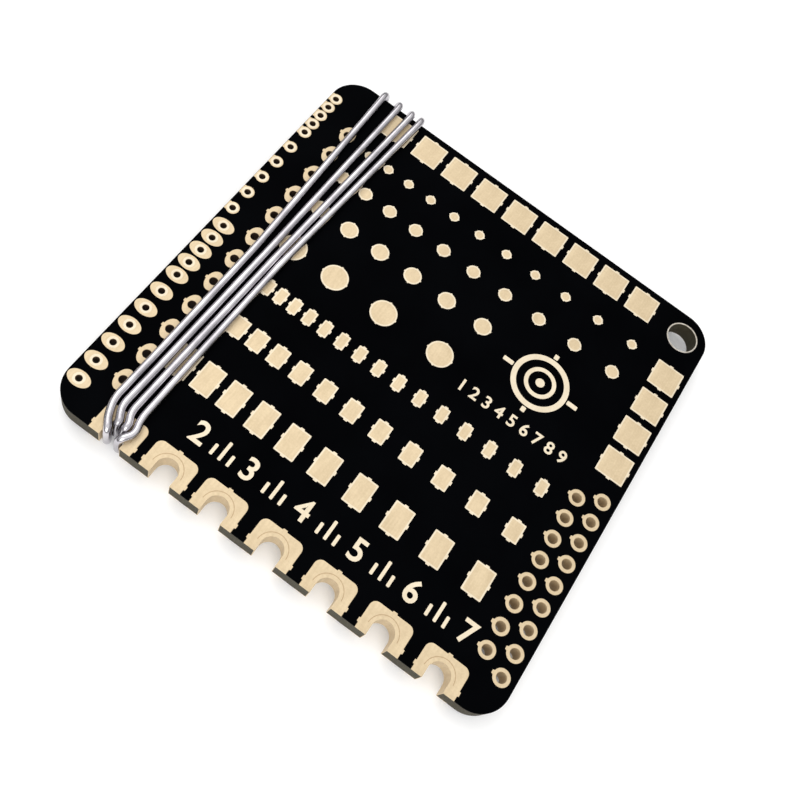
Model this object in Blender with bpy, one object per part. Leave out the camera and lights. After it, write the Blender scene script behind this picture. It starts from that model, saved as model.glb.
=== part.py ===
"""Soldering practice board: a square black circuit board with plated notches, eyelets and bare
pads, and a length of solder wire wound round it. Metres, +Z up, front face up.

The origin is under the middle of the whole object, on the surface that it lies on. Everything
hangs from one empty whose own origin is the middle of the laminate's lower face.
"""

import math

import bmesh
import bpy
from mathutils import Vector
from mathutils.geometry import delaunay_2d_cdt

MM = 0.001

# Laminate
BOARD_WIDTH = 49.5 * MM
BOARD_LENGTH = 49.5 * MM
BOARD_THICKNESS = 2.0 * MM
CORNER_RADIUS = 3.2 * MM
CORNER_STEPS = 6

# Screw hole in the back right corner, clearance for M3
SCREW_HOLE_DIAMETER = 3.3 * MM
SCREW_HOLE_INSET = 2.85 * MM
SCREW_HOLE_MASK_RELIEF = 0.1 * MM
SCREW_HOLE_SIDES = 24

# Layers on the laminate. Bonded layers keep a hair of clearance, so that no two solids overlap
BOND_GAP = 0.01 * MM
PAD_THICKNESS = 0.05 * MM
BUS_THICKNESS = 0.022 * MM
MASK_THICKNESS = 0.03 * MM
MASK_LIFT = 0.045 * MM
MASK_CLEARANCE = 0.03 * MM
BUS_BORE_CLEARANCE = 0.1 * MM

# Plated notches along the near edge: five at a wide pitch, then two at a narrow one
NOTCH_WIDTH = 2.3 * MM
NOTCH_DEPTH = 2.2 * MM
NOTCH_PLATING = 0.06 * MM
NOTCH_SIDE_ARM = 1.18 * MM
NOTCH_RIM = 0.9 * MM
NOTCH_PAD_CORNER = 0.7 * MM
NOTCH_PAD_CORNER_STEPS = 3
NOTCH_END_INSET = 6.35 * MM
NOTCH_WIDE_PITCH = 6.13 * MM
NOTCH_WIDE_COUNT = 5
NOTCH_NARROW_PITCH = 5.67 * MM
NOTCH_NARROW_COUNT = 2

# Square pads: one row along the far edge, one column along the right edge
SQUARE_PAD_SIDE = 3.2 * MM
SQUARE_PAD_PITCH = 4.08 * MM
TOP_PAD_COUNT = 9
TOP_PAD_EDGE_INSET = 2.4 * MM
TOP_PAD_RIGHT_INSET = 8.4 * MM
SIDE_PAD_COUNT = 4
SIDE_PAD_EDGE_INSET = 2.22 * MM
SIDE_PAD_TOP_INSET = 8.5 * MM

# Plated eyelets
EYELET_WALL = 0.06 * MM
EYELET_SIDES = 8

# Two staggered header columns at the right
HEADER_PITCH = 2.54 * MM
HEADER_OUTER_COUNT = 9
HEADER_INNER_COUNT = 8
HEADER_COLUMN_SPACING = 2.36 * MM
HEADER_OUTER_INSET = 1.47 * MM
HEADER_MIDDLE_FROM_NEAR_EDGE = 14.42 * MM
HEADER_BORE = 1.05 * MM
HEADER_RING = 0.35 * MM

# One column of upright oval eyelets beside the wire
OVAL_PITCH = 3.38 * MM
OVAL_COUNT = 12
OVAL_INSET = 4.47 * MM
OVAL_FAR_INSET = 6.95 * MM
OVAL_BORE = 0.9 * MM
OVAL_RING = 0.35 * MM
OVAL_STRETCH = 0.8 * MM

# Edge eyelets at the left, joined by the copper pour: round ones, then ovals that lie on their
# sides. Each run is (count, pitch, distance of its first eyelet from the far edge)
EDGE_RING_WIDTH = 1.3 * MM
EDGE_RING_INSET = 0.75 * MM
EDGE_OVAL_INSET = 1.35 * MM
EDGE_BORE = 0.7 * MM
EDGE_OVAL_HEIGHT = 1.45 * MM
EDGE_OVAL_STRETCH = 1.0 * MM
EDGE_RING_RUNS = (
    (5, 1.5 * MM, 3.9 * MM),
    (5, 2.54 * MM, 12.51 * MM),
)
EDGE_OVAL_RUNS = (
    (5, 1.85 * MM, 24.98 * MM),
    (6, 2.36 * MM, 34.74 * MM),
)

# Solder wire: four turns through the first notch and over the far edge
WIRE_DIAMETER = 0.8 * MM
WIRE_CLEARANCE = 0.065 * MM
WIRE_LOOP_REACH = 0.9 * MM
WIRE_LOOP_START = 0.1 * MM
WIRE_LOOP_STEPS = 8
WIRE_BEND_STEPS = 4
WIRE_BEND_LENGTH = 0.5 * MM
WIRE_BEND_DROP = 0.75 * MM
WIRE_GATHER_FROM_EDGE = 3.2 * MM
# The four front strands, left to right, in mm: sideways places from the first notch's middle, at
# the far edge, halfway, in the lower part and where the strands gather. Then the point beside the
# inner strands' bends (sideways, and from the near edge), where the strand's own bend starts, and
# its place in the notch from the centre of the round end. Two strands fill the round end.
WIRE_STRANDS = (
    ((-2.65, -1.95, -2.05, -2.15), (-1.45, 1.6), -0.95, (-0.62, -0.6)),
    ((-0.55, -0.76, -1.02, -1.15), (-0.6, 2.2), -0.45, (-0.42, 0.45)),
    ((1.12, 0.28, -0.02, -0.12), (0.43, 2.25), 0.45, (0.42, 0.45)),
    ((2.37, 1.14, 0.98, 0.98), (1.5, 1.8), 0.95, (0.62, -0.6)),
)
WIRE_TAIL_START_Y = 3.0 * MM
WIRE_TAIL_SHIFT = -0.5 * MM

# Points of a sheet that lie closer than this count as one
SHEET_MERGE = 0.0001 * MM

# Colours: (base colour, roughness, metallic)
MATERIALS = {
    "laminate": ((0.16, 0.15, 0.10), 0.75, 0.0),
    "solder_mask": ((0.004, 0.005, 0.007), 0.3, 0.0),
    "gold_finish": ((0.86, 0.68, 0.42), 0.35, 1.0),
    "solder": ((0.62, 0.62, 0.65), 0.3, 1.0),
}

# Worked out from the sizes above
WIRE_LOWER_Y = -0.3 * BOARD_LENGTH
HALF_WIDTH = BOARD_WIDTH / 2
HALF_LENGTH = BOARD_LENGTH / 2
WIRE_RADIUS = WIRE_DIAMETER / 2
MASK_LEVEL = MASK_LIFT + MASK_THICKNESS
STRAND_LEVEL = BOARD_THICKNESS / 2 + MASK_LEVEL + WIRE_CLEARANCE + WIRE_RADIUS
NOTCH_RADIUS = NOTCH_WIDTH / 2
NOTCH_ARC_Y = NOTCH_DEPTH - NOTCH_RADIUS - HALF_LENGTH
NOTCH_PAD_WIDTH = NOTCH_WIDTH + 2 * NOTCH_SIDE_ARM
NOTCH_PAD_TOP = NOTCH_DEPTH + NOTCH_RIM - HALF_LENGTH


# ---------------------------------------------------------------- scene


def clear_scene():
    for obj in list(bpy.data.objects):
        bpy.data.objects.remove(obj, do_unlink=True)


def make_materials():
    made = {}
    for name, (colour, roughness, metallic) in MATERIALS.items():
        material = bpy.data.materials.new(name)
        material.use_nodes = True
        shader = material.node_tree.nodes["Principled BSDF"]
        shader.inputs["Base Color"].default_value = (*colour, 1.0)
        shader.inputs["Roughness"].default_value = roughness
        shader.inputs["Metallic"].default_value = metallic
        material.diffuse_color = (*colour, 1.0)
        made[name] = material
    return made


def make_frame():
    """The empty that carries the board, lifted so that the back strands touch z = 0."""
    frame = bpy.data.objects.new("board_frame", None)
    loops_past_edge = WIRE_LOOP_REACH - WIRE_LOOP_START + WIRE_RADIUS
    frame.location = (0, -loops_past_edge / 2, STRAND_LEVEL + WIRE_RADIUS - BOARD_THICKNESS / 2)
    return frame


def add(name, data, material, at=(0, 0, 0)):
    if not data.materials:
        data.materials.append(material)
    obj = bpy.data.objects.new(name, data)
    obj.location = at
    obj.parent = FRAME
    PARTS.objects.link(obj)
    return obj


# ---------------------------------------------------------------- outlines, as lists of (x, y)


def arc(cx, cy, radius, start, end, steps):
    """Points from angle start to angle end, in degrees, both ends included."""
    turns = [math.radians(start + (end - start) * i / steps) for i in range(steps + 1)]
    return [(cx + radius * math.cos(a), cy + radius * math.sin(a)) for a in turns]


def oval(cx, cy, width, height, sides):
    """A slot outline: a circle where width equals height. No point lies on an axis."""
    radius = min(width, height) / 2
    across, along = (width / 2 - radius), (height / 2 - radius)
    points = []
    for i in range(sides):
        a = 2 * math.pi * (i + 0.5) / sides
        x = cx + radius * math.cos(a) + math.copysign(across, math.cos(a))
        y = cy + radius * math.sin(a) + math.copysign(along, math.sin(a))
        points.append((x, y))
    return points


def rectangle(cx, cy, width, height):
    x, y = width / 2, height / 2
    return [(cx - x, cy - y), (cx + x, cy - y), (cx + x, cy + y), (cx - x, cy + y)]


def notch_centres():
    """Middles of the notches along the near edge, left to right."""
    xs = [HALF_WIDTH - NOTCH_END_INSET - NOTCH_WIDE_PITCH * i for i in range(NOTCH_WIDE_COUNT)]
    xs += [xs[-1] - NOTCH_NARROW_PITCH * (i + 1) for i in range(NOTCH_NARROW_COUNT)]
    return sorted(xs)


def notch_pad_bite(cx, grow=0.0):
    """The outline of the bare pad round a notch, from left to right."""
    x = NOTCH_PAD_WIDTH / 2 + grow
    top = NOTCH_PAD_TOP + grow
    corner = NOTCH_PAD_CORNER
    left = arc(cx - x + corner, top - corner, corner, 180, 90, NOTCH_PAD_CORNER_STEPS)
    right = arc(cx + x - corner, top - corner, corner, 90, 0, NOTCH_PAD_CORNER_STEPS)
    return [(cx - x, -HALF_LENGTH)] + left + right + [(cx + x, -HALF_LENGTH)]


def subdivided(points, longest):
    """The same outline with no side longer than this."""
    fine = [points[0]]
    for (x0, y0), (x1, y1) in zip(points, points[1:]):
        steps = max(1, math.ceil(math.hypot(x1 - x0, y1 - y0) / longest))
        fine += [(x0 + (x1 - x0) * i / steps, y0 + (y1 - y0) * i / steps)
                 for i in range(1, steps + 1)]
    return fine


def notch_flange():
    """The pad's edge about x = 0, in sides short enough for the plating to follow the notch."""
    return subdivided(notch_pad_bite(0), NOTCH_WIDTH / 2)


def notch_bite(cx, grow):
    """A round-ended notch from left to right, with a point facing each point of its flange."""
    radius = NOTCH_RADIUS + grow
    bite = []
    for x, y in notch_flange():
        if y <= NOTCH_ARC_Y:
            bite.append((cx + math.copysign(radius, x), y))
        else:
            a = math.atan2(y - NOTCH_ARC_Y, x)
            bite.append((cx + radius * math.cos(a), NOTCH_ARC_Y + radius * math.sin(a)))
    return bite


def board_outline(bite, grow):
    """The rounded square, anticlockwise from its near left corner, with a bite at each notch."""
    x, y, r = HALF_WIDTH, HALF_LENGTH, CORNER_RADIUS
    points = arc(-x + r, -y + r, r, 180, 270, CORNER_STEPS)
    for cx in notch_centres():
        points += bite(cx, grow)
    points += arc(x - r, -y + r, r, 270, 360, CORNER_STEPS)
    points += arc(x - r, y - r, r, 0, 90, CORNER_STEPS)
    points += arc(-x + r, y - r, r, 90, 180, CORNER_STEPS)
    return points


def screw_hole(grow=0.0):
    x, y = HALF_WIDTH - SCREW_HOLE_INSET, HALF_LENGTH - SCREW_HOLE_INSET
    size = SCREW_HOLE_DIAMETER + 2 * grow
    return oval(x, y, size, size, SCREW_HOLE_SIDES)


# ---------------------------------------------------------------- layout


def header_eyelets():
    """(x, y, bore, flange width, flange height) of the staggered columns, far end first."""
    size = HEADER_BORE + 2 * HEADER_RING
    middle = HEADER_MIDDLE_FROM_NEAR_EDGE - HALF_LENGTH
    columns = (
        (HALF_WIDTH - HEADER_OUTER_INSET, HEADER_OUTER_COUNT),
        (HALF_WIDTH - HEADER_OUTER_INSET - HEADER_COLUMN_SPACING, HEADER_INNER_COUNT),
    )
    return [
        (x, middle + HEADER_PITCH * ((count - 1) / 2 - i), HEADER_BORE, size, size)
        for x, count in columns
        for i in range(count)
    ]


def oval_eyelets():
    width = OVAL_BORE + 2 * OVAL_RING
    x = OVAL_INSET - HALF_WIDTH
    return [
        (x, HALF_LENGTH - OVAL_FAR_INSET - OVAL_PITCH * i, OVAL_BORE, width, width + OVAL_STRETCH)
        for i in range(OVAL_COUNT)
    ]


def edge_eyelets():
    kinds = (
        (EDGE_RING_RUNS, EDGE_RING_INSET, EDGE_RING_WIDTH, EDGE_RING_WIDTH),
        (EDGE_OVAL_RUNS, EDGE_OVAL_INSET, EDGE_OVAL_HEIGHT + EDGE_OVAL_STRETCH, EDGE_OVAL_HEIGHT),
    )
    return [
        (inset - HALF_WIDTH, HALF_LENGTH - first - pitch * i, EDGE_BORE, width, height)
        for runs, inset, width, height in kinds
        for count, pitch, first in runs
        for i in range(count)
    ]


def top_pads():
    y = HALF_LENGTH - TOP_PAD_EDGE_INSET
    last = HALF_WIDTH - TOP_PAD_RIGHT_INSET
    return [(last - SQUARE_PAD_PITCH * i, y) for i in reversed(range(TOP_PAD_COUNT))]


def side_pads():
    x = HALF_WIDTH - SIDE_PAD_EDGE_INSET
    first = HALF_LENGTH - SIDE_PAD_TOP_INSET
    return [(x, first - SQUARE_PAD_PITCH * i) for i in range(SIDE_PAD_COUNT)]


# ---------------------------------------------------------------- solids


def goes_round(outline, x, y):
    """Whether the closed outline holds the point."""
    inside = False
    for (x0, y0), (x1, y1) in zip(outline, outline[1:] + outline[:1]):
        if (y0 > y) != (y1 > y) and x < x0 + (x1 - x0) * (y - y0) / (y1 - y0):
            inside = not inside
    return inside


def flat_triangles(outlines):
    """(points, triangles) of the shape inside the first outline and outside the others."""
    points, edges = [], []
    for outline in outlines:
        first, count = len(points), len(outline)
        points += [Vector(point) for point in outline]
        edges += [(first + i, first + (i + 1) % count) for i in range(count)]
    corners, _, triangles, *_ = delaunay_2d_cdt(points, edges, [], 1, SHEET_MERGE)
    kept = []
    for triangle in triangles:
        x, y = sum((corners[i] for i in triangle), Vector((0, 0))) / 3
        if sum(goes_round(outline, x, y) for outline in outlines) % 2:
            kept.append(triangle)
    return corners, kept


def flat_sheet(outlines, thickness):
    """A sheet with holes: the first outline is its edge, and the others are cut through it."""
    corners, triangles = flat_triangles(outlines)
    count = len(corners)
    points = [(x, y, z) for z in (-thickness / 2, thickness / 2) for x, y in corners]
    faces = [(c, b, a) for a, b, c in triangles]
    faces += [(a + count, b + count, c + count) for a, b, c in triangles]
    sides = {side for a, b, c in triangles for side in ((a, b), (b, c), (c, a))}
    rim = [(a, b) for a, b in sorted(sides) if (b, a) not in sides]
    faces += [(a, b, b + count, a + count) for a, b in rim]
    sheet = bpy.data.meshes.new("sheet")
    sheet.from_pydata(points, [], faces)
    return sheet


def plated_wall(bore, barrel, flange, closed):
    """Plating that lines a hole and turns out over both faces.

    bore, barrel and flange are outlines with as many points each: the finished hole, the back of
    the plating and the edge of the pad. closed is False for a notch, whose two ends are capped.
    """
    low, high = -BOND_GAP, BOARD_THICKNESS + BOND_GAP
    mesh = bmesh.new()
    rings = []
    for b, w, f in zip(bore, barrel, flange):
        section = (
            (*b, high + PAD_THICKNESS),
            (*f, high + PAD_THICKNESS),
            (*f, high),
            (*w, high),
            (*w, low),
            (*f, low),
            (*f, low - PAD_THICKNESS),
            (*b, low - PAD_THICKNESS),
        )
        rings.append([mesh.verts.new(point) for point in section])
    pairs = list(zip(rings, rings[1:]))
    if closed:
        pairs.append((rings[-1], rings[0]))
    for one, two in pairs:
        for k in range(len(one)):
            j = (k + 1) % len(one)
            mesh.faces.new((one[k], one[j], two[j], two[k]))
    if not closed:
        mesh.faces.new(rings[0])
        mesh.faces.new(reversed(rings[-1]))
    bmesh.ops.triangulate(mesh, faces=[f for f in mesh.faces if len(f.verts) > 4])
    bmesh.ops.recalc_face_normals(mesh, faces=mesh.faces)
    data = bpy.data.meshes.new("plated_wall")
    mesh.to_mesh(data)
    mesh.free()
    return data


def eyelet_mesh(bore, width, height):
    size = bore + 2 * EYELET_WALL
    return plated_wall(
        oval(0, 0, bore, bore, EYELET_SIDES),
        oval(0, 0, size, size, EYELET_SIDES),
        oval(0, 0, width, height, EYELET_SIDES),
        closed=True,
    )


def castellation_mesh():
    """The plating of one notch, about x = 0."""
    return plated_wall(
        notch_bite(0, 0), notch_bite(0, NOTCH_PLATING), notch_flange(), closed=False
    )


def pad_mesh():
    mesh = bmesh.new()
    bmesh.ops.create_cube(mesh, size=1)
    bmesh.ops.scale(mesh, vec=(SQUARE_PAD_SIDE, SQUARE_PAD_SIDE, PAD_THICKNESS), verts=mesh.verts)
    data = bpy.data.meshes.new("square_pad")
    mesh.to_mesh(data)
    mesh.free()
    return data


# ---------------------------------------------------------------- sub-parts


def build_laminate():
    grow = NOTCH_PLATING + BOND_GAP
    outlines = [board_outline(notch_bite, grow), screw_hole()]
    for x, y, bore, _, _ in header_eyelets() + oval_eyelets() + edge_eyelets():
        size = bore + 2 * (EYELET_WALL + BOND_GAP)
        outlines.append(oval(x, y, size, size, EYELET_SIDES))
    sheet = flat_sheet(outlines, BOARD_THICKNESS)
    add("laminate_core", sheet, MATERIAL["laminate"], (0, 0, BOARD_THICKNESS / 2))


def pad_openings(clearance, eyelets, squares):
    """Outlines round eyelets and square pads, this much larger than the pads."""
    outlines = [
        oval(x, y, width + 2 * clearance, height + 2 * clearance, EYELET_SIDES)
        for x, y, _, width, height in eyelets
    ]
    side = SQUARE_PAD_SIDE + 2 * clearance
    return outlines + [rectangle(x, y, side, side) for x, y in squares]


def build_masks():
    """The front mask is open over every pad here; the back one only round the plated holes."""
    eyelets = header_eyelets() + oval_eyelets() + edge_eyelets()
    edge = board_outline(notch_pad_bite, MASK_CLEARANCE)
    hole = screw_hole(SCREW_HOLE_MASK_RELIEF)
    middle = MASK_LIFT + MASK_THICKNESS / 2
    for name, squares, z in (
        ("front_solder_mask", top_pads() + side_pads(), BOARD_THICKNESS + middle),
        ("back_solder_mask", [], -middle),
    ):
        outlines = [edge, hole] + pad_openings(MASK_CLEARANCE, eyelets, squares)
        add(name, flat_sheet(outlines, MASK_THICKNESS), MATERIAL["solder_mask"], (0, 0, z))


def edge_bus_outline():
    """The copper between the edge eyelets: it reaches their pads and stops short of their bores."""
    eyelets = edge_eyelets()
    rings = sum(count for count, _, _ in EDGE_RING_RUNS)
    last_ring, first_oval = eyelets[rings - 1], eyelets[rings]
    clear = EDGE_BORE / 2 + EYELET_WALL + BUS_BORE_CLEARANCE
    ring_side, oval_side = last_ring[0] + clear, first_oval[0] + clear
    right = first_oval[0] + first_oval[3] / 2 + BUS_BORE_CLEARANCE
    low, high = eyelets[-1][1], eyelets[0][1]
    step = (last_ring[1] + first_oval[1]) / 2
    return [
        (oval_side, low), (right, low), (right, high),
        (ring_side, high), (ring_side, step), (oval_side, step),
    ]


def build_edge_bus():
    """The edge eyelets, joined by the strip of copper pour that ties them under the mask."""
    # The strip lies inside the pads' thickness, so that no two faces of the join share a plane
    z = BOARD_THICKNESS + MASK_LIFT - BOND_GAP - BUS_THICKNESS / 2
    strip = add("edge_eyelet_bus", bpy.data.meshes.new("edge_bus"), MATERIAL["gold_finish"],
                (0, 0, z))
    mesh = bmesh.new()
    low = mesh.faces.new([mesh.verts.new((x, y, -BUS_THICKNESS / 2))
                          for x, y in edge_bus_outline()])
    grown = bmesh.ops.extrude_face_region(mesh, geom=[low])["geom"]
    tops = [v for v in grown if isinstance(v, bmesh.types.BMVert)]
    bmesh.ops.translate(mesh, vec=(0, 0, BUS_THICKNESS), verts=tops)
    bmesh.ops.recalc_face_normals(mesh, faces=mesh.faces)
    mesh.to_mesh(strip.data)
    mesh.free()
    for i, (x, y, bore, width, height) in enumerate(edge_eyelets(), 1):
        eyelet = bpy.data.objects.new(f"edge_eyelet_{i:02d}", eyelet_mesh(bore, width, height))
        eyelet.location = (x, y, 0)
        eyelet.parent = FRAME
        eyelet.hide_render = True
        eyelet.display_type = "WIRE"
        HELPERS.objects.link(eyelet)
    join = strip.modifiers.new("edge eyelets", "BOOLEAN")
    join.operation = "UNION"
    join.operand_type = "COLLECTION"
    join.collection = HELPERS


def build_eyelets():
    for prefix, eyelets in (
        ("header_eyelet", header_eyelets()),
        ("column_eyelet", oval_eyelets()),
    ):
        shared = eyelet_mesh(*eyelets[0][2:])
        for i, (x, y, _, _, _) in enumerate(eyelets, 1):
            add(f"{prefix}_{i:02d}", shared, MATERIAL["gold_finish"], (x, y, 0))


def build_castellations():
    shared = castellation_mesh()
    for i, x in enumerate(notch_centres(), 1):
        add(f"castellation_{i}", shared, MATERIAL["gold_finish"], (x, 0, 0))


def build_square_pads():
    shared = pad_mesh()
    z = BOARD_THICKNESS + BOND_GAP + PAD_THICKNESS / 2
    for prefix, places in (("top_pad", top_pads()), ("side_pad", side_pads())):
        for i, (x, y) in enumerate(places, 1):
            add(f"{prefix}_{i}", shared, MATERIAL["gold_finish"], (x, y, z))


# ---------------------------------------------------------------- solder wire


def strand(turn, side, shift=0.0):
    """One strand from the board's middle to its place in the notch, as points (x, y, z).

    side is 1 on the front and -1 on the back. shift moves its start sideways.
    """
    (_, middle, lower, gather), beside, bend_x, slot = in_metres(WIRE_STRANDS[turn])
    slot_x, slot_y = slot[0], slot[1] + NOTCH_ARC_Y
    z = side * STRAND_LEVEL
    points = [
        (middle + shift, 0, z),
        (lower + shift / 2, WIRE_LOWER_Y, z),
        (gather, WIRE_GATHER_FROM_EDGE - HALF_LENGTH, z),
        (beside[0], beside[1] - HALF_LENGTH, z),
    ]
    for i in range(WIRE_BEND_STEPS + 1):
        a = math.radians(90 * i / WIRE_BEND_STEPS)
        left = 1 - math.sin(a)
        drop = WIRE_BEND_DROP * (1 - math.cos(a))
        points.append(
            (slot_x + (bend_x - slot_x) * left, slot_y + WIRE_BEND_LENGTH * left, z - side * drop)
        )
    return points


def in_metres(places):
    """Numbers in millimetres, in tuples, as metres."""
    if isinstance(places, tuple):
        return tuple(in_metres(place) for place in places)
    return places * MM


def far_loop(x_back, x_front):
    """Over the far edge, from the back to the front."""
    points = []
    for i in range(WIRE_LOOP_STEPS + 1):
        a = math.radians(-90 + 180 * i / WIRE_LOOP_STEPS)
        y = HALF_LENGTH - WIRE_LOOP_START + WIRE_LOOP_REACH * math.cos(a)
        x = x_back + (x_front - x_back) * i / WIRE_LOOP_STEPS
        points.append((x, y, STRAND_LEVEL * math.sin(a)))
    return points


def wire_route():
    """The wire's middle line, from the first notch's middle and half the board's thickness."""
    far_edge = [in_metres(places[0][0]) for places in WIRE_STRANDS]
    last = len(WIRE_STRANDS) - 1
    back_x = far_edge[0]
    route = [(back_x + WIRE_TAIL_SHIFT, WIRE_TAIL_START_Y, -STRAND_LEVEL)]
    for turn, front_x in enumerate(far_edge):
        route += far_loop(back_x, front_x)
        route += strand(turn, 1)
        if turn < last:
            # On the back, each strand climbs from its own place to the next strand's loop
            route += reversed(strand(turn, -1))
            back_x = (front_x + far_edge[turn + 1]) / 2
        else:
            route += reversed(strand(turn, -1, -WIRE_TAIL_SHIFT))
    return route


def build_wire():
    curve = bpy.data.curves.new("solder_wire", "CURVE")
    curve.dimensions = "3D"
    curve.bevel_depth = WIRE_RADIUS
    curve.bevel_resolution = 2
    curve.use_fill_caps = True
    route = wire_route()
    spline = curve.splines.new("POLY")
    spline.points.add(len(route) - 1)
    for point, place in zip(spline.points, route):
        point.co = (*place, 1)
    at = (notch_centres()[0], 0, BOARD_THICKNESS / 2)
    add("solder_wire", curve, MATERIAL["solder"], at)


clear_scene()
PARTS = bpy.data.collections.new("soldering_practice_board")
HELPERS = bpy.data.collections.new("joined_eyelets")
bpy.context.scene.collection.children.link(PARTS)
bpy.context.scene.collection.children.link(HELPERS)
MATERIAL = make_materials()
FRAME = make_frame()
PARTS.objects.link(FRAME)

build_laminate()
build_edge_bus()
build_masks()
build_eyelets()
build_castellations()
build_square_pads()
build_wire()
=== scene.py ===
"""The soldering practice board as it looks: fine pads, plated notches, printed scale, wound wire.

Sizes below are in millimetres, measured from the middle of the board: x to the right along the
notched edge, y away from that edge, z up from the laminate's front face.
"""

import math

import bmesh
import bpy
from mathutils import Matrix, Vector
from mathutils.geometry import delaunay_2d_cdt


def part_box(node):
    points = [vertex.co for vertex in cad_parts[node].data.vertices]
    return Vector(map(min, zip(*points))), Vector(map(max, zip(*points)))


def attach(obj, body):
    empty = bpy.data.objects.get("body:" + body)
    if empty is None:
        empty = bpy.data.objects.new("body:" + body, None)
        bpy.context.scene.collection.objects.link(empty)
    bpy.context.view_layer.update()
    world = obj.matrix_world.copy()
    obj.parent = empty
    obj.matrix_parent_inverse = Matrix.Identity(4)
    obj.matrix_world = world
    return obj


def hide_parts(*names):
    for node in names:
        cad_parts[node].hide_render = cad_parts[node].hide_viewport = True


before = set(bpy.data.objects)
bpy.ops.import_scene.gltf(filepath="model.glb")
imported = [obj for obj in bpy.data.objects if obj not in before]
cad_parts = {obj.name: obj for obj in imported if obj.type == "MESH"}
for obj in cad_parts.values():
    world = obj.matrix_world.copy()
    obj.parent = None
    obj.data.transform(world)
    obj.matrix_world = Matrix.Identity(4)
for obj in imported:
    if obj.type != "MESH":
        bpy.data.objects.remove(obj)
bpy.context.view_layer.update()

MM = 0.001
CORE_LOW, CORE_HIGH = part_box("laminate_core")
MIDDLE = Vector(((CORE_LOW[0] + CORE_HIGH[0]) / 2, (CORE_LOW[1] + CORE_HIGH[1]) / 2, CORE_HIGH[2]))
THICKNESS = 2.0
HALF = 24.75

MASK_TOP = 0.075
PAD_TOP = 0.09
LEGEND_TOP = 0.088
PAD_BACK = 0.004
MASK_BACK = 0.002
# The border of a bare pad, painted brighter gold as a highlight along its edge, and how far its inside
# stands above the border
PAD_HIGHLIGHT_RIM = 0.16
PAD_STEP = 0.003
HOLE_WALL = 0.055
PIECE_BEVEL = 0.035

# The four sides of a pad, anticlockwise from the right
SIDES = ((1, 0), (0, 1), (-1, 0), (0, -1))

NOTCH_XS = (-17.45, -11.78, -6.11, 0.02, 6.15, 12.28, 18.4)
NOTCH_RADIUS = 1.15
NOTCH_ARC_Y = -23.7
NOTCH_PLATING = 0.06
NOTCH_PAD = (4.66, 3.1, 0.7)

HOLE = (21.9, 21.9, 1.65)

HEADER_XS = ((23.28, 9), (20.92, 8))
HEADER_MIDDLE_Y = -10.33
HEADER_PITCH = 2.54
HEADER_BORE = 0.525
HEADER_RING = 0.875
COLUMN = (-20.28, 17.8, 3.38, 12)
COLUMN_BORE = 0.45
COLUMN_SIZE = (1.66, 2.4)
EDGE_BORE = 0.35
EDGE_ROUND_RUNS = ((20.85, 1.5, 5), (12.24, 2.54, 5))
EDGE_OVAL_RUNS = ((-0.23, 1.85, 5), (-9.99, 2.36, 6))
EDGE_ROUND = (-24.0, 0.72, 0.55)
EDGE_OVAL = (-23.4, 2.45, 1.62)

TOP_PADS = [(16.35 - 4.08 * i, 22.35) for i in reversed(range(9))]
SIDE_PADS = [(22.53, 16.25 - 4.08 * i) for i in range(4)]
SQUARE_SIDE = 3.2

# Bare practice pads in rows: (name, y, width, height or None for a dot, first x, first gap, how
# much the gap grows each step, count)
PAD_ROWS = (
    ("dots_smallest", 17.27, 1.2, None, -16.92, 2.51, 0.211, 11),
    ("dots_small", 12.95, 1.65, None, -17.5, 2.956, 0.2306, 10),
    ("dots_medium", 8.13, 2.1, None, -17.12, 3.766, 0.2024, 6),
    ("dots_large", 2.51, 3.13, None, -16.55, 5.23, 0.9, 4),
    ("rectangles_small", -2.85, 1.1, 1.75, -15.8, 1.578, 0.123, 15),
    ("rectangles_medium", -8.25, 1.68, 2.25, -15.4, 2.2975, 0.218, 11),
    ("rectangles_large", -14.43, 2.2, 3.25, -17.1, 2.81, 0.2466, 10),
)

# Solder wire: the same route as the solid wire's
WIRE_RADIUS = 0.4
STRAND_LEVEL = 1.54
WIRE_STRANDS = (
    ((-2.65, -1.95, -2.05, -2.15), (-1.45, 1.6), -0.95, (-0.62, -0.6)),
    ((-0.55, -0.76, -1.02, -1.15), (-0.6, 2.2), -0.45, (-0.42, 0.45)),
    ((1.12, 0.28, -0.02, -0.12), (0.43, 2.25), 0.45, (0.42, 0.45)),
    ((2.37, 1.14, 0.98, 0.98), (1.5, 1.8), 0.95, (0.62, -0.6)),
)
WIRE_TAIL_START_Y = 3.0
WIRE_TAIL_SHIFT = -0.5

CAMERA_FROM = (1.67, -46.81, 87.43)
CAMERA_AIM = (-4.15, -3.29, 0.0)
CAMERA_ROLL = 29.47
CAMERA_LENS = 44.69
CAMERA_SHIFT = (0.05, -0.05)


def place(x, y, z=0.0):
    """A point in millimetres from the board's middle, in the row frame."""
    return MIDDLE + Vector((x, y, z)) * MM


# ---------------------------------------------------------------- materials


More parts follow.
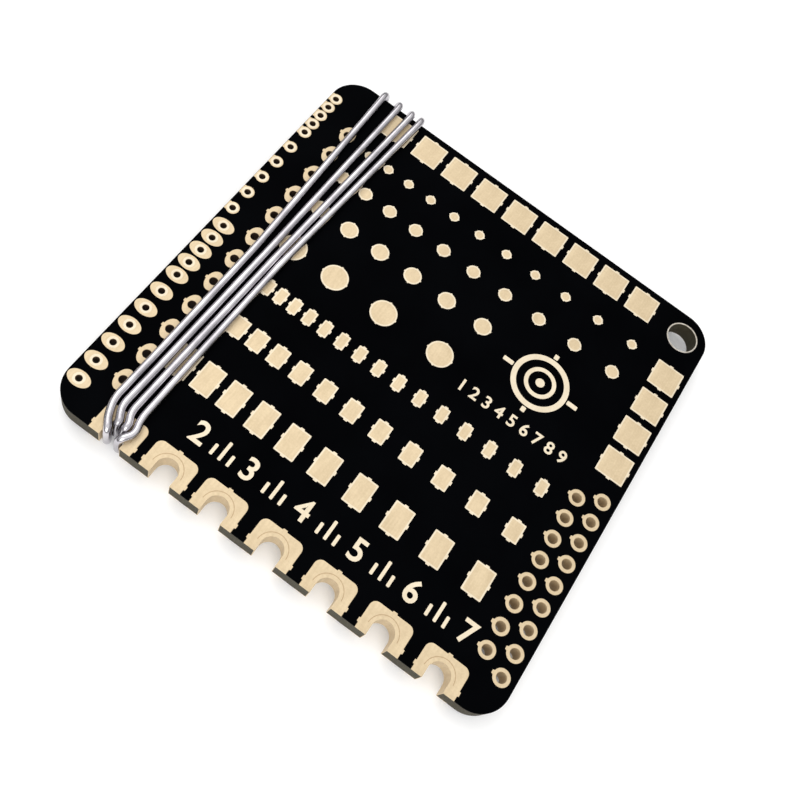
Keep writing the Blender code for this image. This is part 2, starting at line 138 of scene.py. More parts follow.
class Shader:
    """A material whose nodes are added one line at a time."""

    def __init__(self, name):
        self.material = bpy.data.materials.new(name)
        self.material.use_nodes = True
        self.tree = self.material.node_tree
        self.surface = self.tree.nodes["Principled BSDF"]
        self.place = self.node("ShaderNodeTexCoord").outputs["Object"]

    def node(self, kind, **settings):
        made = self.tree.nodes.new(kind)
        for name, value in settings.items():
            setattr(made, name, value)
        return made

    def link(self, source, target):
        if isinstance(source, (int, float)):
            target.default_value = source
        else:
            self.tree.links.new(source, target)

    def noise(self, per_mm, detail=3.0, stretch=(1, 1, 1), rough=0.55):
        """Noise with about this many blobs per millimetre along each stretched axis."""
        mapping = self.node("ShaderNodeMapping")
        mapping.inputs["Scale"].default_value = stretch
        self.link(self.place, mapping.inputs["Vector"])
        noise = self.node("ShaderNodeTexNoise")
        noise.inputs["Scale"].default_value = per_mm * 1000
        noise.inputs["Detail"].default_value = detail
        noise.inputs["Roughness"].default_value = rough
        self.link(mapping.outputs[0], noise.inputs["Vector"])
        return noise.outputs[0]

    def math(self, operation, a, b=0.0):
        made = self.node("ShaderNodeMath", operation=operation)
        self.link(a, made.inputs[0])
        self.link(b, made.inputs[1])
        return made.outputs[0]

    def between(self, value, low, high, start=0.3, end=0.7):
        """A number from low to high as value goes from start to end."""
        made = self.node("ShaderNodeMapRange")
        for name, number in (("From Min", start), ("From Max", end), ("To Min", low), ("To Max", high)):
            made.inputs[name].default_value = number
        self.link(value, made.inputs["Value"])
        return made.outputs[0]

    def colours(self, value, *stops):
        """A colour from (position, (r, g, b)) stops."""
        ramp = self.node("ShaderNodeValToRGB")
        first, last = ramp.color_ramp.elements
        first.position, first.color = stops[0][0], (*stops[0][1], 1)
        last.position, last.color = stops[-1][0], (*stops[-1][1], 1)
        for position, colour in stops[1:-1]:
            ramp.color_ramp.elements.new(position).color = (*colour, 1)
        self.link(value, ramp.inputs[0])
        return ramp.outputs[0]

    def blend(self, factor, one, two, kind="MIX"):
        made = self.node("ShaderNodeMix", data_type="RGBA", blend_type=kind)
        self.link(factor, made.inputs[0])
        self.link(one, made.inputs[6])
        self.link(two, made.inputs[7])
        return made.outputs[2]

    def bump(self, height, distance_mm, strength=1.0):
        made = self.node("ShaderNodeBump")
        made.inputs["Distance"].default_value = distance_mm * MM
        made.inputs["Strength"].default_value = strength
        self.link(height, made.inputs["Height"])
        self.link(made.outputs[0], self.surface.inputs["Normal"])

    def set(self, **values):
        names = {"colour": "Base Color", "rough": "Roughness", "metal": "Metallic",
                 "specular": "Specular IOR Level", "coat": "Coat Weight"}
        for name, value in values.items():
            self.link(value, self.surface.inputs[names[name]])
        return self.material


def laminate_material():
    """Sawn glass-epoxy: woven layers on edge, with fibres torn along the cut."""
    s = Shader("sawn_laminate")
    height = s.node("ShaderNodeSeparateXYZ")
    s.link(s.place, height.inputs[0])
    wander = s.math("MULTIPLY", s.noise(0.5, 2.0), 0.00012)
    layer = s.math("ADD", height.outputs[2], wander)
    stripes = s.math("SINE", s.math("MULTIPLY", layer, 2 * math.pi / 0.00023))
    layers = s.colours(
        s.between(stripes, 0.0, 1.0, -1.0, 1.0),
        (0.0, (0.026, 0.023, 0.013)),
        (0.45, (0.058, 0.052, 0.032)),
        (1.0, (0.095, 0.086, 0.056)),
    )
    fibres = s.noise(1.3, 5.0, (1, 1, 7), 0.7)
    fine = s.colours(fibres, (0.25, (0.55, 0.53, 0.5)), (0.6, (1.0, 1.0, 1.0)), (0.8, (1.35, 1.3, 1.2)))
    burnt = s.colours(s.noise(0.22, 2.0), (0.35, (0.82, 0.76, 0.68)), (0.65, (1.08, 1.08, 1.08)))
    colour = s.blend(1.0, s.blend(1.0, layers, fine, "MULTIPLY"), burnt, "MULTIPLY")
    s.bump(s.math("ADD", s.math("MULTIPLY", stripes, 0.35), fibres), 0.03, 0.6)
    return s.set(colour=colour, rough=s.between(fibres, 0.62, 0.9), specular=0.3)


def mask_material():
    """Satin black solder mask, with the faint weave of the laminate under it."""
    s = Shader("black_solder_mask")
    blotch = s.noise(0.12, 3.0)
    speck = s.noise(9.0, 2.0)
    colour = s.colours(blotch, (0.35, (0.0006, 0.0007, 0.0011)), (0.65, (0.0011, 0.0013, 0.0018)))
    weave = s.node("ShaderNodeTexChecker")
    weave.inputs["Scale"].default_value = 2200
    s.link(s.place, weave.inputs["Vector"])
    relief = s.math("ADD", s.math("MULTIPLY", weave.outputs["Fac"], 0.12), s.math("MULTIPLY", speck, 0.5))
    s.bump(relief, 0.004, 0.35)
    return s.set(colour=colour, rough=s.between(speck, 0.36, 0.48), specular=0.006)


def gold_material(name, low, high, rough, metal, grain=0.35):
    """Immersion gold over copper: pale, even, with a fine grain and faint rubbing."""
    s = Shader(name)
    patch = s.noise(0.55, 4.0)
    fine = s.noise(5.0, 3.0)
    rubbed = s.noise(0.5, 3.0, (9, 1, 1))
    tone = s.math("ADD", s.math("MULTIPLY", patch, 0.6), s.math("MULTIPLY", fine, 0.4))
    base = s.colours(tone, (0.36, low), (0.62, high))
    streaks = s.colours(rubbed, (0.4, (0.97, 0.96, 0.95)), (0.62, (1.03, 1.03, 1.03)))
    s.bump(s.math("ADD", fine, s.math("MULTIPLY", rubbed, 0.4)), 0.012, grain)
    return s.set(
        colour=s.blend(1.0, base, streaks, "MULTIPLY"),
        rough=s.between(tone, rough - 0.06, rough + 0.08),
        metal=metal,
        specular=0.5,
    )


def wire_material():
    """Drawn solder wire: bright, with faint lengthwise lines and duller touched patches."""
    s = Shader("solder_wire_metal")
    drawn = s.noise(3.5, 3.0, (1, 0.05, 1))
    dull = s.noise(0.35, 3.0)
    tone = s.colours(
        dull, (0.35, (0.42, 0.405, 0.43)), (0.6, (0.6, 0.58, 0.61)), (0.75, (0.72, 0.70, 0.725))
    )
    s.bump(s.math("ADD", drawn, s.math("MULTIPLY", s.noise(1.5, 2.0), 0.6)), 0.02, 0.3)
    return s.set(colour=tone, rough=s.between(dull, 0.26, 0.16), metal=1.0)


def rim_material():
    """Bare laminate face round the screw hole, cut bright by the drill."""
    s = Shader("drilled_rim")
    fibre = s.noise(4.0, 4.0)
    colour = s.colours(fibre, (0.3, (0.33, 0.29, 0.235)), (0.7, (0.62, 0.57, 0.5)))
    s.bump(fibre, 0.02, 0.4)
    return s.set(colour=colour, rough=s.between(fibre, 0.4, 0.7))


def floor_material():
    s = Shader("white_table")
    grain = s.noise(0.02, 2.0)
    colour = s.colours(grain, (0.3, (0.9, 0.9, 0.902)), (0.7, (0.915, 0.914, 0.912)))
    # The table glows faintly, a painted lift of light that softens the shadows on it and seen through the
    # holes
    s.surface.inputs["Emission Color"].default_value = (1.0, 1.0, 1.0, 1.0)
    s.surface.inputs["Emission Strength"].default_value = 0.12
    return s.set(colour=colour, rough=s.between(grain, 0.75, 0.85), specular=0.1)


# ---------------------------------------------------------------- outlines, in millimetres


def arc(cx, cy, radius, start, end, steps):
    turns = [math.radians(start + (end - start) * i / steps) for i in range(steps + 1)]
    return [(cx + radius * math.cos(a), cy + radius * math.sin(a)) for a in turns]


def circle(cx, cy, radius, sides=32):
    return arc(cx, cy, radius, 0, 360, sides)[:-1]


def rounded_box(cx, cy, width, height, radius, steps=4):
    x, y = width / 2 - radius, height / 2 - radius
    points = []
    for sx, sy, start in ((1, -1, -90), (1, 1, 0), (-1, 1, 90), (-1, -1, 180)):
        points += arc(cx + sx * x, cy + sy * y, radius, start, start + 90, steps)
    return points


def ellipse(cx, cy, width, height, sides=40):
    turns = [2 * math.pi * i / sides for i in range(sides)]
    return [(cx + width / 2 * math.cos(a), cy + height / 2 * math.sin(a)) for a in turns]


def tie(centre, direction, edge, half, reach):
    """The copper tie that leaves a pad's edge: four points, anticlockwise round the pad."""
    along = Vector(direction)
    across = Vector((-along.y, along.x))
    middle = Vector(centre)
    tip = half * 0.8
    corners = ((edge, -half), (edge + reach, -tip), (edge + reach, tip), (edge, half))
    return [tuple(middle + along * out + across * side) for out, side in corners]


def tied_dot(cx, cy, radius, half, reach, ties=SIDES, steps=8):
    """A round pad with a tie on each named side."""
    bite = math.degrees(math.asin(half / radius))
    inner = radius * math.cos(math.radians(bite))
    points = []
    for k, direction in enumerate(SIDES):
        if direction in ties:
            points += tie((cx, cy), direction, inner, half, reach + radius - inner)
        else:
            points += arc(cx, cy, radius, 90 * k - bite, 90 * k + bite, 2)
        points += arc(cx, cy, radius, 90 * k + bite, 90 * (k + 1) - bite, steps)[1:-1]
    return points


def tied_box(cx, cy, width, height, half=0.24, reach=0.13, round_by=0.09):
    """A rectangular pad with softened corners and a tie on each side."""
    x, y = width / 2, height / 2
    points = []
    corners = ((x, y, 0), (-x, y, 90), (-x, -y, 180), (x, -y, 270))
    for direction, edge, (px, py, start) in zip(SIDES, (x, y, x, y), corners):
        points += tie((cx, cy), direction, edge, half, reach)
        middle_x = cx + px - math.copysign(round_by, px)
        middle_y = cy + py - math.copysign(round_by, py)
        points += arc(middle_x, middle_y, round_by, start, start + 90, 2)
    return points


def notch_bite(cx, grow):
    radius = NOTCH_RADIUS + grow
    end = arc(cx, NOTCH_ARC_Y, radius, 180, 0, 32)
    return [(cx - radius, -HALF)] + end + [(cx + radius, -HALF)]


def notch_pad_bite(cx, grow):
    width, height, corner = NOTCH_PAD
    x, top = width / 2 + grow, height - HALF + grow
    left = arc(cx - x + corner, top - corner, corner, 180, 90, 8)
    right = arc(cx + x - corner, top - corner, corner, 90, 0, 8)
    return [(cx - x, -HALF)] + left + right + [(cx + x, -HALF)]


def board_outline(bite, grow):
    inner, r = HALF - 3.2, 3.2
    points = arc(-inner, -inner, r, 180, 270, 20)
    for cx in NOTCH_XS:
        points += bite(cx, grow)
    for sx, sy, start in ((1, -1, 270), (1, 1, 0), (-1, 1, 90)):
        points += arc(sx * inner, sy * inner, r, start, start + 90, 20)
    return points


# ---------------------------------------------------------------- mesh building


def filled(outlines):
    """(points, triangles) of the flat shape inside the first outline and outside the others."""
    points, edges = [], []
    for outline in outlines:
        first = len(points)
        count = len(outline)
        points += [Vector(p) for p in outline]
        edges += [(first + i, first + (i + 1) % count) for i in range(count)]
    corners, _, faces, *_ = delaunay_2d_cdt(points, edges, [], 1, 1e-5)
    boxes = [outline_box(outline) for outline in outlines]
    kept = []
    for face in faces:
        middle = sum((corners[i] for i in face), Vector((0, 0))) / len(face)
        inside = [
            holds(outline, middle)
            for outline, (left, right, low, high) in zip(outlines, boxes)
            if left < middle.x < right and low < middle.y < high
        ]
        if sum(inside) % 2:
            kept.append(face)
    return corners, kept


def outline_box(outline):
    xs, ys = zip(*outline)
    return min(xs), max(xs), min(ys), max(ys)


def holds(outline, point):
    """Whether the outline goes round the point."""
    inside = False
    for (x0, y0), (x1, y1) in zip(outline, outline[1:] + outline[:1]):
        if (y0 > point.y) != (y1 > point.y):
            if point.x < x0 + (x1 - x0) * (point.y - y0) / (y1 - y0):
                inside = not inside
    return inside


def object_of(mesh, name, materials, bevel=0.0):
    bmesh.ops.recalc_face_normals(mesh, faces=mesh.faces)
    data = bpy.data.meshes.new(name)
    mesh.to_mesh(data)
    mesh.free()
    for material in materials:
        data.materials.append(material)
    return put(data, name, bevel)


def put(data, name, bevel=0.0, at=(0, 0, 0)):
    obj = bpy.data.objects.new(name, data)
    obj.location = Vector(at) * MM
    bpy.context.scene.collection.objects.link(obj)
    if bevel:
        edge = obj.modifiers.new("softened edge", "BEVEL")
        edge.width = bevel * MM
        edge.segments = 2
        edge.limit_method = "ANGLE"
        edge.angle_limit = math.radians(50)
        edge.harden_normals = False
    return obj


def add_sheet(mesh, outlines, low, high, slot=0):
    """Adds a flat shape with holes, from z = low to z = high, to the mesh."""
    points, faces = filled(outlines)
    rings = [[mesh.verts.new(place(p[0], p[1], z)) for p in points] for z in (low, high)]
    count = {}
    for face in faces:
        mesh.faces.new([rings[1][i] for i in face]).material_index = slot
        mesh.faces.new([rings[0][i] for i in reversed(face)]).material_index = slot
        for a, b in zip(face, [*face[1:], face[0]]):
            count[(a, b)] = True
    for a, b in count:
        if (b, a) not in count:
            side = mesh.faces.new((rings[0][a], rings[0][b], rings[1][b], rings[1][a]))
            side.material_index = slot


def add_tube(mesh, inner, outer, low, high, slot=0):
    """Adds the wall between two closed outlines of as many points to the mesh."""
    rings = []
    for (ix, iy), (ox, oy) in zip(inner, outer):
        corners = ((ix, iy, low), (ix, iy, high), (ox, oy, high), (ox, oy, low))
        rings.append([mesh.verts.new(place(*corner)) for corner in corners])
    for one, two in zip(rings, rings[1:] + rings[:1]):
        for k in range(4):
            j = (k + 1) % 4
            mesh.faces.new((one[k], one[j], two[j], two[k])).material_index = slot


def smooth(obj, angle=40):
    for face in obj.data.polygons:
        face.use_smooth = True
    obj.data.set_sharp_from_angle(angle=math.radians(angle))


def finish_piece(obj, slot, *nodes):
    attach(obj, "root")
    if nodes:
        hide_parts(*nodes)


# ---------------------------------------------------------------- board


def header_places():
    return [
        (x, HEADER_MIDDLE_Y + HEADER_PITCH * ((count - 1) / 2 - i))
        for x, count in HEADER_XS
        for i in range(count)
    ]


def column_places():
    x, first, pitch, count = COLUMN
    return [(x, first - pitch * i) for i in range(count)]


def edge_places(runs, x):
    return [(x, first - pitch * i) for first, pitch, count in runs for i in range(count)]


def bores():
    """(x, y, radius) of every plated hole."""
    edge = edge_places(EDGE_ROUND_RUNS, EDGE_ROUND[0]) + edge_places(EDGE_OVAL_RUNS, EDGE_OVAL[0])
    return (
        [(x, y, HEADER_BORE) for x, y in header_places()]
        + [(x, y, COLUMN_BORE) for x, y in column_places()]
        + [(x, y, EDGE_BORE) for x, y in edge]
    )


def build_laminate():
    mesh = bmesh.new()
    holes = [circle(x, y, r + 0.06, 24) for x, y, r in bores()]
    outlines = [board_outline(notch_bite, 0.06), circle(*HOLE, 64)] + holes
    add_sheet(mesh, outlines, -THICKNESS, 0)
    board = object_of(mesh, "board_laminate", [LAMINATE])
    smooth(board, 35)
    finish_piece(board, "laminate", "laminate_core")


def build_masks():
    holes = [circle(x, y, r + 0.03, 24) for x, y, r in bores()]
    hole = circle(HOLE[0], HOLE[1], HOLE[2] + 0.16, 64)
    for name, node, low, high in (
        ("mask_front", "front_solder_mask", MASK_BACK, MASK_TOP),
        ("mask_back", "back_solder_mask", -THICKNESS - MASK_TOP, -THICKNESS - MASK_BACK),
    ):
        mesh = bmesh.new()
        add_sheet(mesh, [board_outline(notch_pad_bite, 0.03), hole] + holes, low, high)
        mask = object_of(mesh, name, [MASK])
        finish_piece(mask, "solder_mask", node)
        mesh = bmesh.new()
        rim = [circle(HOLE[0], HOLE[1], HOLE[2] + 0.15, 64), circle(*HOLE, 64)]
        add_sheet(mesh, rim, low, high - 0.02)
        rim = object_of(mesh, f"screw_hole_rim_{name[5:]}", [RIM], 0.02)
        finish_piece(rim, "laminate")


def both_faces(mesh, outlines):
    """The same bare pad on the front and on the back."""
    add_sheet(mesh, outlines, PAD_BACK, PAD_TOP)
    add_sheet(mesh, outlines, -THICKNESS - PAD_TOP, -THICKNESS - PAD_BACK)


def line_hole(mesh, bore, back, slot):
    """Plating down a hole, a little past both faces."""
    add_tube(mesh, bore, back, -THICKNESS - MASK_BACK, MASK_BACK, slot)


def shifted(data, name, node, slot, bevel, dx, dy):
    piece = put(data, name, bevel, (dx, dy, 0))
    finish_piece(piece, slot, node)


def eyelet_data(name, radius, outline, wall):
    """A plated hole about the board's middle, to be shared by its copies."""
    mesh = bmesh.new()
    both_faces(mesh, [outline, circle(0, 0, radius, 24)])
    line_hole(mesh, circle(0, 0, radius, 24), circle(0, 0, radius + HOLE_WALL, 24), 1)
    made = object_of(mesh, name, [GOLD, wall])
    smooth(made, 40)
    data = made.data
    bpy.data.objects.remove(made)
    return data


def build_eyelets():
    ring = tied_dot(0, 0, HEADER_RING, 0.22, 0.16, ((-1, 0),))
    data = eyelet_data("header_ring", HEADER_BORE, ring, GOLD)
    for i, (x, y) in enumerate(header_places(), 1):
        name, node = f"header_plated_hole_{i:02d}", f"header_eyelet_{i:02d}"
        shifted(data, name, node, "gold_finish", PIECE_BEVEL, x, y)
    width, height = COLUMN_SIZE
    ring = ellipse(0, 0, width, height)
    left = len(ring) // 2
    nub = tie((0, 0), (-1, 0), width / 2 - 0.02, 0.2, 0.15)
    ring[left - 1:left + 2] = nub
    # The column holes' plating is painted near black, the shade down the narrow bores
    data = eyelet_data("column_ring", COLUMN_BORE, ring, SHADED)
    for i, (x, y) in enumerate(column_places(), 1):
        name, node = f"column_plated_hole_{i:02d}", f"column_eyelet_{i:02d}"
        shifted(data, name, node, "gold_finish", PIECE_BEVEL, x, y)


def edge_ring(x, y):
    """A round pad that runs out to the board's left edge."""
    _, radius, half = EDGE_ROUND
    turn = 180 - math.degrees(math.asin(half / radius))
    return [(0.02 - HALF, y - half)] + arc(x, y, radius, -turn, turn, 28) + [(0.02 - HALF, y + half)]


def build_edge_eyelets():
    mesh = bmesh.new()
    rounds = [(x, y, edge_ring(x, y)) for x, y in edge_places(EDGE_ROUND_RUNS, EDGE_ROUND[0])]
    x, width, height = EDGE_OVAL
    ovals = [(x, y, ellipse(x, y, width, height)) for x, y in edge_places(EDGE_OVAL_RUNS, x)]
    for cx, cy, outline in rounds + ovals:
        bore, back = circle(cx, cy, EDGE_BORE, 24), circle(cx, cy, EDGE_BORE + HOLE_WALL, 24)
        both_faces(mesh, [outline, bore])
        # The plating down the bore is painted near black, the shade inside the narrow hole
        line_hole(mesh, bore, back, 1)
        # A lip round the bore in brighter gold, a painted highlight where light catches the hole's edge
        lip = circle(cx, cy, EDGE_BORE + 0.26, 24)
        add_sheet(mesh, [lip, bore], PAD_TOP - 0.01, PAD_TOP + 0.02, 2)
    rings = object_of(mesh, "edge_plated_holes", [GOLD, SHADED, LEGEND_GOLD_AND_PAINTED_HIGHLIGHT], PIECE_BEVEL)
    smooth(rings, 40)
    finish_piece(rings, "gold_finish", "edge_eyelet_bus")


def castellation_outline():
    """The pad round a notch at x = 0, with its ties at the top and at both sides."""
    width, height, corner = NOTCH_PAD
    x, top = width / 2, height - HALF
    tie_y = -HALF + 0.75
    points = [(-x, -HALF)]
    points += [(-x, tie_y - 0.24), (-x - 0.15, tie_y - 0.2), (-x - 0.15, tie_y + 0.2), (-x, tie_y + 0.24)]
    points += arc(-x + corner, top - corner, corner, 180, 90, 8)
    points += [(-0.26, top), (-0.22, top + 0.15), (0.22, top + 0.15), (0.26, top)]
    points += arc(x - corner, top - corner, corner, 90, 0, 8)
    points += [(x, tie_y + 0.24), (x + 0.15, tie_y + 0.2), (x + 0.15, tie_y - 0.2), (x, tie_y - 0.24)]
    points += [(x, -HALF)]
    return points + list(reversed(notch_bite(0, 0)))


def build_castellations():
    mesh = bmesh.new()
    both_faces(mesh, [castellation_outline()])
    wall = notch_bite(0, 0) + list(reversed(notch_bite(0, NOTCH_PLATING - 0.005)))
    add_sheet(mesh, [wall], -THICKNESS - MASK_BACK, MASK_BACK)
    # The drill burr that the plating follows, a little out from the notch, painted as a darker gold line:
    # the shade in its crease
    ring = notch_bite(0, 0.45)[1:-1] + list(reversed(notch_bite(0, 0.37)[1:-1]))
    add_sheet(mesh, [ring], PAD_TOP - 0.01, PAD_TOP + 0.006, 1)
    made = object_of(mesh, "notch_plating", [GOLD, RING])
    smooth(made, 40)
    data = made.data
    bpy.data.objects.remove(made)
    for i, x in enumerate(NOTCH_XS, 1):
        shifted(data, f"plated_notch_{i}", f"castellation_{i}", "gold_finish", 0.04, x, 0)


def build_square_pads():
    mesh = bmesh.new()
    # The whole pad in brighter gold, so its border shows as a painted highlight round the plain gold
    # inside
    add_sheet(mesh, [tied_box(0, 0, SQUARE_SIDE, SQUARE_SIDE)], PAD_BACK, PAD_TOP)
    inner = SQUARE_SIDE - 2 * PAD_HIGHLIGHT_RIM
    add_sheet(mesh, [rounded_box(0, 0, inner, inner, 0.1)], 0.03, PAD_TOP + PAD_STEP, 1)
    made = object_of(mesh, "square_pad_gold", [LEGEND_GOLD_AND_PAINTED_HIGHLIGHT, GOLD])
    data = made.data
    bpy.data.objects.remove(made)
    for prefix, places in (("top", TOP_PADS), ("side", SIDE_PADS)):
        for i, (x, y) in enumerate(places, 1):
            shifted(data, f"{prefix}_square_pad_{i}", f"{prefix}_pad_{i}", "gold_finish", 0.04, x, y)


def build_practice_rows():
    for name, y, width, height, x, gap, growth, count in PAD_ROWS:
        mesh = bmesh.new()
        for i in range(count):
            if height is None:
                radius = 0.47 * width
                dot = tied_dot(x, y, radius, half=0.06 + 0.02 * width, reach=0.07)
                inside = circle(x, y, radius - PAD_HIGHLIGHT_RIM, 32)
                add_sheet(mesh, [dot], PAD_BACK, PAD_TOP)
            else:
                half = min(0.24, width * 0.2)
                inside = rounded_box(x, y, width - 2 * PAD_HIGHLIGHT_RIM, height - 2 * PAD_HIGHLIGHT_RIM, 0.06)
                add_sheet(mesh, [tied_box(x, y, width, height, half)], PAD_BACK, PAD_TOP)
            # The plain gold inside stands on the brighter pad, leaving a border of painted highlight
            # round it
            add_sheet(mesh, [inside], 0.03, PAD_TOP + PAD_STEP, 1)
            x += gap
            gap += growth
        finish_piece(object_of(mesh, f"practice_{name}", [LEGEND_GOLD_AND_PAINTED_HIGHLIGHT, GOLD], PIECE_BEVEL), "gold_finish")


# ---------------------------------------------------------------- legend: plain numbers and marks


def numerals(name, entries, height, weight):
    """Numbers (text, x, y of the base line), joined into one gold piece."""
    mesh = bmesh.new()
    for text, x, y in entries:
        curve = bpy.data.curves.new(name, "FONT")
        curve.body = text
        curve.align_x = "CENTER"
        curve.size = height * 1.43
        curve.offset = weight
        curve.extrude = (LEGEND_TOP - 0.01) / 2
        curve.resolution_u = 4
        maker = bpy.data.objects.new(name, curve)
        bpy.context.scene.collection.objects.link(maker)
        bpy.context.view_layer.update()
        data = maker.to_mesh()
        data.transform(Matrix.Translation((x, y, (LEGEND_TOP + 0.01) / 2)))
        data.transform(Matrix.Translation(MIDDLE) @ Matrix.Scale(MM, 4))
        mesh.from_mesh(data)
        maker.to_mesh_clear()
        bpy.data.objects.remove(maker)
    finish_piece(object_of(mesh, name, [LEGEND_GOLD_AND_PAINTED_HIGHLIGHT]), "gold_finish")


def build_legend():
    """Generic marks: numbered notches, a scale between them, a target and a row of numbers."""
    base = -20.1
    tags = [(str(i), x + 0.2, base) for i, x in enumerate(NOTCH_XS, 1) if i > 1]
    numerals("notch_numbers", tags, 2.25, 0.06)
    mesh = bmesh.new()
    for one, two in zip(NOTCH_XS[1:], NOTCH_XS[2:]):
        for k in (-1, 0, 1):
            tall = 1.2 if k else 2.1
            tick = rounded_box((one + two) / 2 + 0.2 + k * 0.95, base + tall / 2, 0.34, tall, 0.1)
            add_sheet(mesh, [tick], 0.01, LEGEND_TOP)
    finish_piece(object_of(mesh, "notch_scale", [LEGEND_GOLD_AND_PAINTED_HIGHLIGHT]), "gold_finish")

    mesh = bmesh.new()
    cx, cy = 11.8, 6.7
    for outer, inner in ((3.2, 2.6), (1.75, 1.3)):
        add_sheet(mesh, [circle(cx, cy, outer, 64), circle(cx, cy, inner, 64)], 0.01, LEGEND_TOP)
    add_sheet(mesh, [circle(cx, cy, 0.5, 32)], 0.01, LEGEND_TOP)
    for side in (-1, 1):
        add_sheet(mesh, [rounded_box(cx + side * 3.95, cy, 1.2, 0.5, 0.08)], 0.01, LEGEND_TOP)
        add_sheet(mesh, [rounded_box(cx, cy + side * 3.65, 0.5, 0.6, 0.08)], 0.01, LEGEND_TOP)
    finish_piece(object_of(mesh, "target_mark", [LEGEND_GOLD_AND_PAINTED_HIGHLIGHT]), "gold_finish")
    row = [(str(i), 5.45 + 1.52 * (i - 1), 0.56) for i in range(1, 10)]
    numerals("small_numbers", row, 1.35, 0.04)


# ---------------------------------------------------------------- solder wire


def strand(turn, side, shift=0.0):
    """One strand from the board's middle to its place in the notch, as points (x, y, z)."""
    (_, middle, lower, gather), beside, bend_x, (slot_x, slot_y) = WIRE_STRANDS[turn]
    slot_y += NOTCH_ARC_Y
    z = side * STRAND_LEVEL
    points = [
        (middle + shift, 0, z),
        (lower + shift / 2, -0.6 * HALF, z),
        (gather, 3.2 - HALF, z),
        (beside[0], beside[1] - HALF, z),
    ]
    for i in range(5):
        a = math.radians(90 * i / 4)
        left = 1 - math.sin(a)
        drop = 0.75 * (1 - math.cos(a))
        points.append((slot_x + (bend_x - slot_x) * left, slot_y + 0.5 * left, z - side * drop))
    return points


def far_loop(x_back, x_front):
    points = []
    for i in range(9):
        a = math.radians(-90 + 180 * i / 8)
        y = HALF - 0.1 + 0.9 * math.cos(a)
        points.append((x_back + (x_front - x_back) * i / 8, y, STRAND_LEVEL * math.sin(a)))
    return points


def wire_route():
    far_edge = [places[0][0] for places in WIRE_STRANDS]
    last = len(WIRE_STRANDS) - 1
    back_x = far_edge[0]
    route = [(back_x + WIRE_TAIL_SHIFT, WIRE_TAIL_START_Y, -STRAND_LEVEL)]
    for turn, front_x in enumerate(far_edge):
        route += far_loop(back_x, front_x)
        route += strand(turn, 1)
        if turn < last:
            route += reversed(strand(turn, -1))
            back_x = (front_x + far_edge[turn + 1]) / 2
        else:
            route += reversed(strand(turn, -1, -WIRE_TAIL_SHIFT))
    return route


def rounded_route(points, cut=0.45):
    """The same route with each corner eased: two points near it in place of one."""
    eased = [points[0]]
    for before, corner, after in zip(points, points[1:], points[2:]):
        for end in (before, after):
            step = end - corner
            eased.append(corner + step * min(0.25, cut / step.length))
    return eased + [points[-1]]


def build_wire():
    route = [Vector(p) for p in wire_route()]
    route = rounded_route(rounded_route(route), 0.2)
    curve = bpy.data.curves.new("solder_wire_turns", "CURVE")
    curve.dimensions = "3D"
    curve.bevel_depth = WIRE_RADIUS * MM
    curve.bevel_resolution = 6
    curve.use_fill_caps = True
    spline = curve.splines.new("POLY")
    spline.points.add(len(route) - 1)
    for point, (x, y, z) in zip(spline.points, route):
        point.co = (*place(NOTCH_XS[0] + x, y, z - THICKNESS / 2), 1)
    spline.use_smooth = True
    curve.materials.append(WIRE)
    wire = bpy.data.objects.new("solder_wire_turns", curve)
    bpy.context.scene.collection.objects.link(wire)
    finish_piece(wire, "solder", "solder_wire")


# ---------------------------------------------------------------- studio


def build_floor():
    mesh = bmesh.new()
    bmesh.ops.create_grid(mesh, x_segments=8, y_segments=8, size=1.5)
    data = bpy.data.meshes.new("table")
    mesh.to_mesh(data)
    mesh.free()
    data.materials.append(FLOOR)
    table = bpy.data.objects.new("table", data)
    table.location = (0, 0, -0.0001)
    bpy.context.scene.collection.objects.link(table)


def light(name, at, size, power, colour=(1, 1, 1)):
    """A square soft light at a point in millimetres, aimed at the board."""
    lamp = bpy.data.lights.new(name, "AREA")
    lamp.size = size * MM
    lamp.energy = power
    lamp.color = colour
    obj = bpy.data.objects.new(name, lamp)
    obj.location = place(*at)
    obj.rotation_euler = (MIDDLE - obj.location).to_track_quat("-Z", "Y").to_euler()
    bpy.context.scene.collection.objects.link(obj)


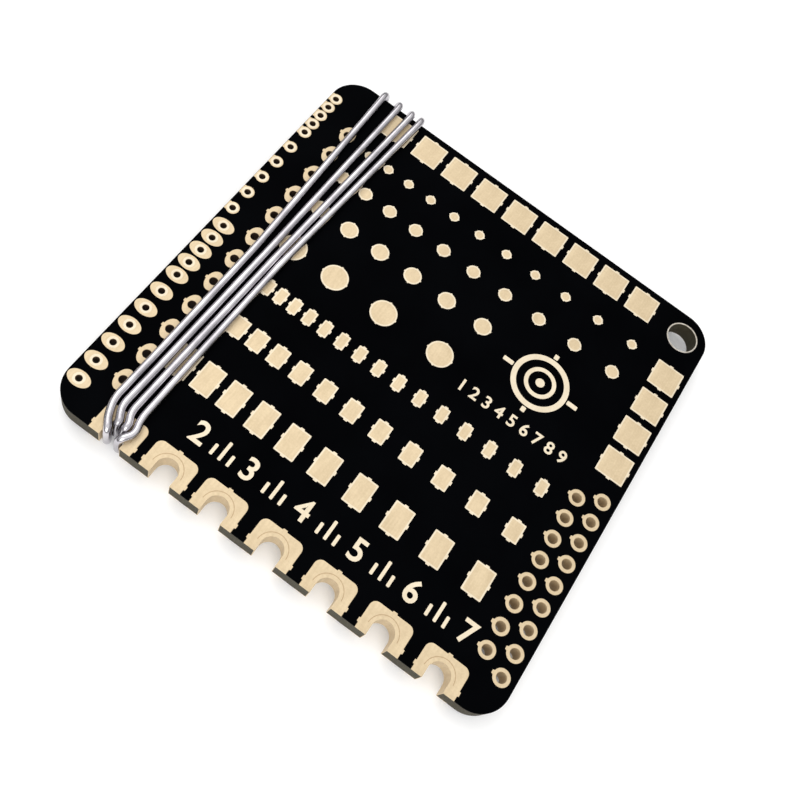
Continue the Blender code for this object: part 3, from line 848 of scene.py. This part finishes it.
def build_studio():
    world = bpy.data.worlds.new("studio")
    world.use_nodes = True
    tree = world.node_tree
    background = tree.nodes["Background"]
    # Lit from above, and dimmer towards the horizon; the camera sees plain white
    height = tree.nodes.new("ShaderNodeSeparateXYZ")
    tree.links.new(tree.nodes.new("ShaderNodeTexCoord").outputs["Generated"], height.inputs[0])
    dome = tree.nodes.new("ShaderNodeMapRange")
    for name, value in (("From Min", 0.15), ("From Max", 0.85), ("To Min", 0.14), ("To Max", 1.16)):
        dome.inputs[name].default_value = value
    tree.links.new(height.outputs[2], dome.inputs["Value"])
    seen = tree.nodes.new("ShaderNodeMix")
    seen.inputs[3].default_value = 1.0
    tree.links.new(tree.nodes.new("ShaderNodeLightPath").outputs["Is Camera Ray"], seen.inputs[0])
    tree.links.new(dome.outputs[0], seen.inputs[2])
    tree.links.new(seen.outputs[0], background.inputs["Strength"])
    background.inputs["Color"].default_value = (1.0, 1.0, 1.0, 1.0)
    bpy.context.scene.world = world
    light("key", (-160, 120, 260), 300, 0.36, (1.0, 0.985, 0.965))
    light("fill", (60, -220, 160), 200, 0.3, (1.0, 0.99, 0.98))
    bpy.context.scene.view_settings.view_transform = "Standard"


def build_camera():
    start, aim = place(*CAMERA_FROM), place(*CAMERA_AIM)
    forward = (aim - start).normalized()
    level = forward.cross(Vector((0, 0, 1))).normalized()
    up = level.cross(forward)
    roll = math.radians(CAMERA_ROLL)
    right = level * math.cos(roll) + up * math.sin(roll)
    up = up * math.cos(roll) - level * math.sin(roll)
    turned = Matrix((right, up, -forward)).transposed().to_4x4()
    data = bpy.data.cameras.new("camera")
    data.lens = CAMERA_LENS
    data.shift_x, data.shift_y = CAMERA_SHIFT
    data.clip_start, data.clip_end = 0.005, 10
    camera = bpy.data.objects.new("camera", data)
    camera.matrix_world = Matrix.Translation(start) @ turned
    bpy.context.scene.collection.objects.link(camera)
    bpy.context.scene.camera = camera


LAMINATE = laminate_material()
MASK = mask_material()
GOLD = gold_material("immersion_gold", (0.59, 0.465, 0.29), (0.69, 0.555, 0.36), 0.5, 0.3)
# Brighter gold: the legend's own colour, and a painted highlight on pad borders and hole lips
LEGEND_GOLD_AND_PAINTED_HIGHLIGHT = gold_material("legend_gold_and_painted_highlight", (0.71, 0.61, 0.445), (0.79, 0.69, 0.52), 0.5, 0.2)
# Darker gold: painted shade in the crease of the drill burr round each notch
RING = gold_material("drill_line_painted_shade_gold", (0.42, 0.29, 0.165), (0.50, 0.36, 0.21), 0.5, 0.3)
# Near-black gold: the dull plating down the small holes, darkened as painted shade inside the bores
SHADED = gold_material("dull_hole_plating_painted_shade", (0.045, 0.024, 0.014), (0.085, 0.048, 0.026), 0.6, 0.2)
WIRE = wire_material()
RIM = rim_material()
FLOOR = floor_material()

build_camera()
build_laminate()
build_masks()
build_edge_eyelets()
build_eyelets()
build_castellations()
build_square_pads()
build_practice_rows()
build_legend()
build_wire()
build_floor()
build_studio()
